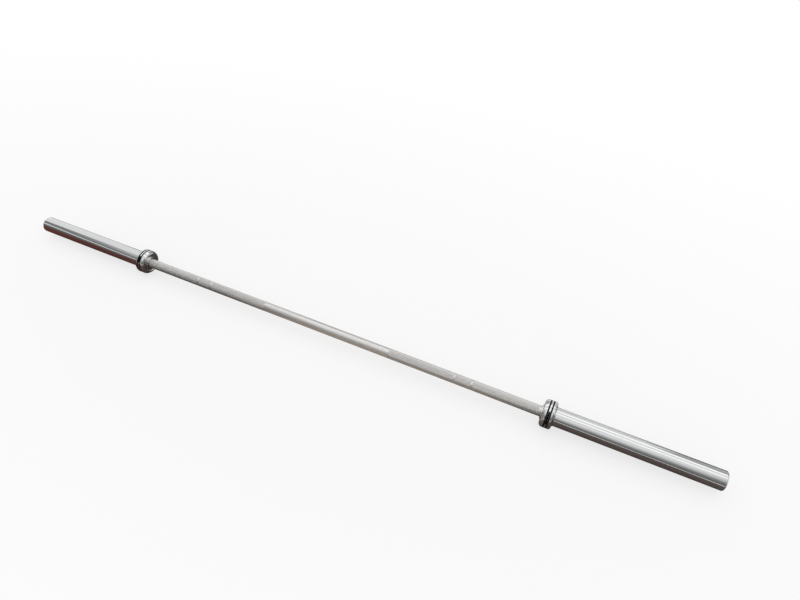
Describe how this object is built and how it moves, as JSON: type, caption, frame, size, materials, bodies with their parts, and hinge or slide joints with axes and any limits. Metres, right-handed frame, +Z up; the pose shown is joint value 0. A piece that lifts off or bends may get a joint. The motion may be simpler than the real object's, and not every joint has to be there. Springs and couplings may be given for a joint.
{
  "type": "deadlift bar",
  "caption": "Long straight weight bar with a knurled steel shaft, smooth ring marks, and a free-turning sleeve with a rounded, black-banded collar at each end.",
  "frame": {"origin": "middle of the bar's axis, halfway between the two ends", "axes": "+X along the bar towards the right sleeve, +Y level and away from the lifter's side, +Z up"},
  "size_m": [2.2, 0.0746, 0.0746],
  "materials": {
    "shaft_satin_chrome": "satin chrome over knurling, plain and brighter between the knurled lengths",
    "sleeve_bright_chrome": "bright chrome with fine turning marks",
    "collar_bright_chrome": "polished chrome",
    "band_rubber": "satin black rubber",
    "seal_rubber": "matte black rubber",
    "bush_bronze": "turned bearing bronze",
    "washer_steel": "ground",
    "ring_spring_steel": "blackened spring steel",
    "cap_brushed_chrome": "brushed chrome"
  },
  "bodies": {
    "shaft": {"shaft": "shaft_satin_chrome", "left_inner_thrust_washer": "washer_steel", "left_outer_thrust_washer": "washer_steel", "left_shaft_ring": "ring_spring_steel", "right_inner_thrust_washer": "washer_steel", "right_outer_thrust_washer": "washer_steel", "right_shaft_ring": "ring_spring_steel"},
    "left_sleeve": {"left_sleeve_tube": "sleeve_bright_chrome", "left_collar": "collar_bright_chrome", "left_inner_band": "band_rubber", "left_outer_band": "band_rubber", "left_dust_seal": "seal_rubber", "left_inner_bush": "bush_bronze", "left_outer_bush": "bush_bronze", "left_end_cap": "cap_brushed_chrome", "left_end_cap_ring": "ring_spring_steel"},
    "right_sleeve": {"right_sleeve_tube": "sleeve_bright_chrome", "right_collar": "collar_bright_chrome", "right_inner_band": "band_rubber", "right_outer_band": "band_rubber", "right_dust_seal": "seal_rubber", "right_inner_bush": "bush_bronze", "right_outer_bush": "bush_bronze", "right_end_cap": "cap_brushed_chrome", "right_end_cap_ring": "ring_spring_steel"}
  },
  "joints": [
    {"name": "left_sleeve_spin", "type": "hinge", "parent": "shaft", "child": "left_sleeve", "pos_m": [-0.875, 0, 0], "axis": [1, 0, 0], "continuous": true},
    {"name": "right_sleeve_spin", "type": "hinge", "parent": "shaft", "child": "right_sleeve", "pos_m": [0.875, 0, 0], "axis": [1, 0, 0], "continuous": true}
  ]
}
